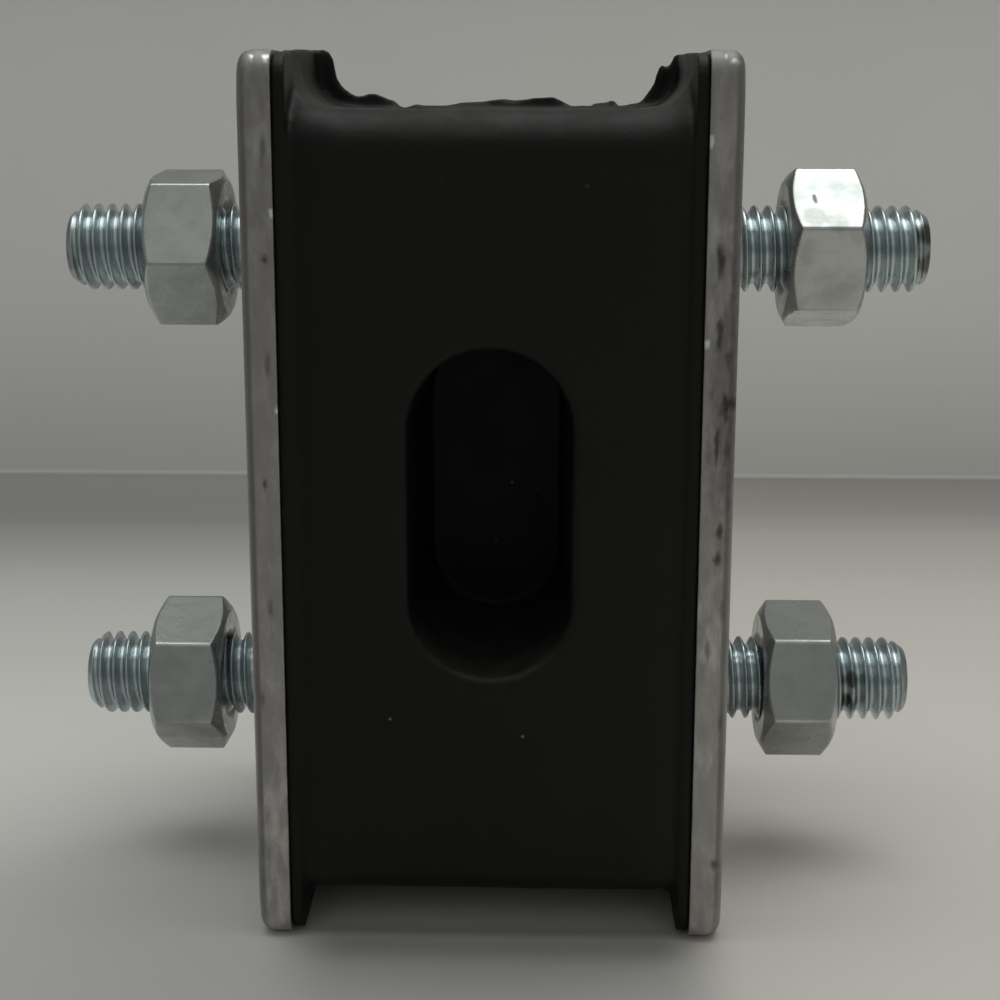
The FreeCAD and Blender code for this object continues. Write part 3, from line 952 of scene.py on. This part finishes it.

# Painted light and shade on the card by place: a pool of light round the part that fades towards the front,
# the back and high up the wall, with shade at the wall's foot; as (millimetres, left, right): from front to
# back, and up the wall
FLOOR_PAINTED_LIGHT = [
    (-60.0, 0.45, 0.72), (-12.0, 0.66, 0.78), (8.0, 0.79, 0.76), (50.0, 0.70, 0.71), (100.0, 0.515, 0.58),
    (133.0, 0.325, 0.445), (147.0, 0.28, 0.35), (174.0, 0.30, 0.29),
]
WALL_PAINTED_LIGHT = [
    (0.0, 0.66, 0.69), (27.0, 0.745, 0.78), (50.0, 0.775, 0.80), (90.0, 0.695, 0.70), (160.0, 0.55, 0.55),
    (300.0, 0.33, 0.33),
]
# Painted shadow on the floor close in front of the part, as (millimetres from front to back, tone)
SHADOW_STRIP_TONES = [
    (-50.0, 0.64), (-34.0, 0.52), (-26.5, 0.41), (-22.5, 0.29), (-19.5, 0.50), (-16.5, 0.80), (-12.0, 0.86),
]
SHADOW_MIDDLE = 1.0
# Where the card's painted light changes from left to right, the painted shadow fades out, and the wall's tone
# begins, as (start, end)
CARD_RIGHT = (-30.0, 35.0)
SHADOW_SIDE = (13.0, 21.0)
SHADOW_START = (-50.0, -40.0)
SHADOW_END = (-12.0, -4.0)
WALL_START = (0.4, 1.3)


def in_metres(sizes):
    """Sizes in millimetres as metres."""
    return [size * MM for size in sizes]


def make_card_with_painted_light():
    """Pale board with a painted pool of light and painted shade by place, and a painted shadow close in front
    of the part.
    """
    material, tree, shader = new_material("card_painted_light", Roughness=0.8, Specular_IOR_Level=0.15)
    across, back, up = object_axes(tree)
    right = ranged(tree, across, *in_metres(CARD_RIGHT))
    # Painted pool of light and shade, by place on the floor and up the wall
    floor = blended(
        tree,
        right,
        toned(tree, back, [(at, tone) for at, tone, _ in FLOOR_PAINTED_LIGHT], 0.03),
        toned(tree, back, [(at, tone) for at, _, tone in FLOOR_PAINTED_LIGHT], 0.06),
    )
    wall = blended(
        tree,
        right,
        toned(tree, up, [(at, tone) for at, tone, _ in WALL_PAINTED_LIGHT], 0.018),
        toned(tree, up, [(at, tone) for at, _, tone in WALL_PAINTED_LIGHT], 0.026),
    )
    # Painted shadow close in front of the part
    beside = maths(tree, "ABSOLUTE", maths(tree, "SUBTRACT", across, SHADOW_MIDDLE * MM))
    between = ranged(tree, beside, *in_metres(SHADOW_SIDE), 1.0, 0.0)
    starts = ranged(tree, back, *in_metres(SHADOW_START))
    ends = ranged(tree, back, *in_metres(SHADOW_END), 1.0, 0.0)
    shadow_share = maths(tree, "MULTIPLY", between, maths(tree, "MULTIPLY", starts, ends))
    floor = blended(tree, shadow_share, floor, toned(tree, back, SHADOW_STRIP_TONES, 0.04))
    colour = blended(tree, ranged(tree, up, *in_metres(WALL_START)), floor, wall)
    cloud = use_group(tree, MOTTLE, Scale=14.0, Low=0.3, High=0.7)
    colour = blended(tree, maths(tree, "MULTIPLY", cloud, 0.04), colour, grey(0.30, 0.01))
    tree.links.new(colour, shader.inputs["Base Color"])
    return material


def make_stage():
    """Plain floor that meets a plain wall in a small cove."""
    profile = [(-CARD_REACH, 0.0), (WALL_DISTANCE - COVE_RADIUS, 0.0)]
    for k in range(1, 9):
        angle = k * math.pi / 16
        y = WALL_DISTANCE - COVE_RADIUS + COVE_RADIUS * math.sin(angle)
        profile.append((y, COVE_RADIUS * (1 - math.cos(angle))))
    profile.append((WALL_DISTANCE, WALL_HEIGHT))
    points = [(x, y, z) for x in (-CARD_REACH, CARD_REACH) for y, z in profile]
    rows = len(profile)
    faces = [(k, rows + k, rows + k + 1, k + 1) for k in range(rows - 1)]
    new_piece("floor_card", points, faces, make_card_with_painted_light())


LAMP_TINT = (0.965, 1.0, 0.975)
# Lamps as name: (place, aim, size, power)
LAMPS = {
    "ceiling": ((0, 18, 520), (0, 18, 0), (700, 356), 1.12),
    "key": ((105, 112, 430), (0, 0, 30), (220, 200), 0.19),
    "front": ((0, -480, 420), (0, 0, 40), (700, 400), 0.17),
}
ROOM_COLOUR = (0.216, 0.224, 0.216, 1.0)
CAMERA_PLACE = (4.184, -163.292, 69.941)
CAMERA_PITCH = 12.309
CAMERA_YAW = -1.349
CAMERA_ROLL = 0.096
CAMERA_SENSOR = 36.0
CAMERA_LENS = 63.581


def add_lamp(name, place, aim, size, power):
    """Soft square lamp, aimed at a point."""
    lamp = bpy.data.lights.new(name, "AREA")
    lamp.shape = "RECTANGLE"
    lamp.size, lamp.size_y = size[0] * MM, size[1] * MM
    lamp.energy = power
    lamp.color = LAMP_TINT
    holder = bpy.data.objects.new(name, lamp)
    direction = Vector(aim) - Vector(place)
    holder.location = Vector(place) * MM
    holder.rotation_euler = direction.to_track_quat("-Z", "Y").to_euler()
    bpy.context.scene.collection.objects.link(holder)


def set_camera():
    """Camera of the photograph."""
    pitch, yaw, roll = map(math.radians, (CAMERA_PITCH, CAMERA_YAW, CAMERA_ROLL))
    ahead = Vector((math.sin(yaw) * math.cos(pitch), math.cos(yaw) * math.cos(pitch), -math.sin(pitch)))
    level = Vector((math.cos(yaw), -math.sin(yaw), 0.0))
    above = level.cross(ahead)
    right = math.cos(roll) * level + math.sin(roll) * above
    above = math.cos(roll) * above - math.sin(roll) * level
    turn = Matrix((right, above, -ahead)).transposed()
    camera = bpy.data.cameras.new("camera")
    camera.sensor_width = CAMERA_SENSOR
    camera.lens = CAMERA_LENS
    camera.clip_start = 0.005
    holder = bpy.data.objects.new("camera", camera)
    holder.matrix_world = Matrix.Translation(Vector(CAMERA_PLACE) * MM) @ turn.to_4x4()
    bpy.context.scene.collection.objects.link(holder)
    bpy.context.scene.camera = holder


def set_light():
    """Broad ceiling light, a smaller one to the right, a faint one from the front and a dim surround."""
    scene = bpy.context.scene
    scene.view_settings.view_transform = "Standard"
    world = bpy.data.worlds.new("room")
    scene.world = world
    world.use_nodes = True
    background = world.node_tree.nodes["Background"]
    background.inputs["Color"].default_value = ROOM_COLOUR
    background.inputs["Strength"].default_value = 1.0
    for name, setting in LAMPS.items():
        add_lamp(name, *setting)


set_camera()
set_light()
make_stage()
make_rubber_block()
for side_name in SIDES:
    make_plate(side_name)
    for level in STUD_HEIGHTS:
        make_stud(level, side_name)
        make_nut(level, side_name)
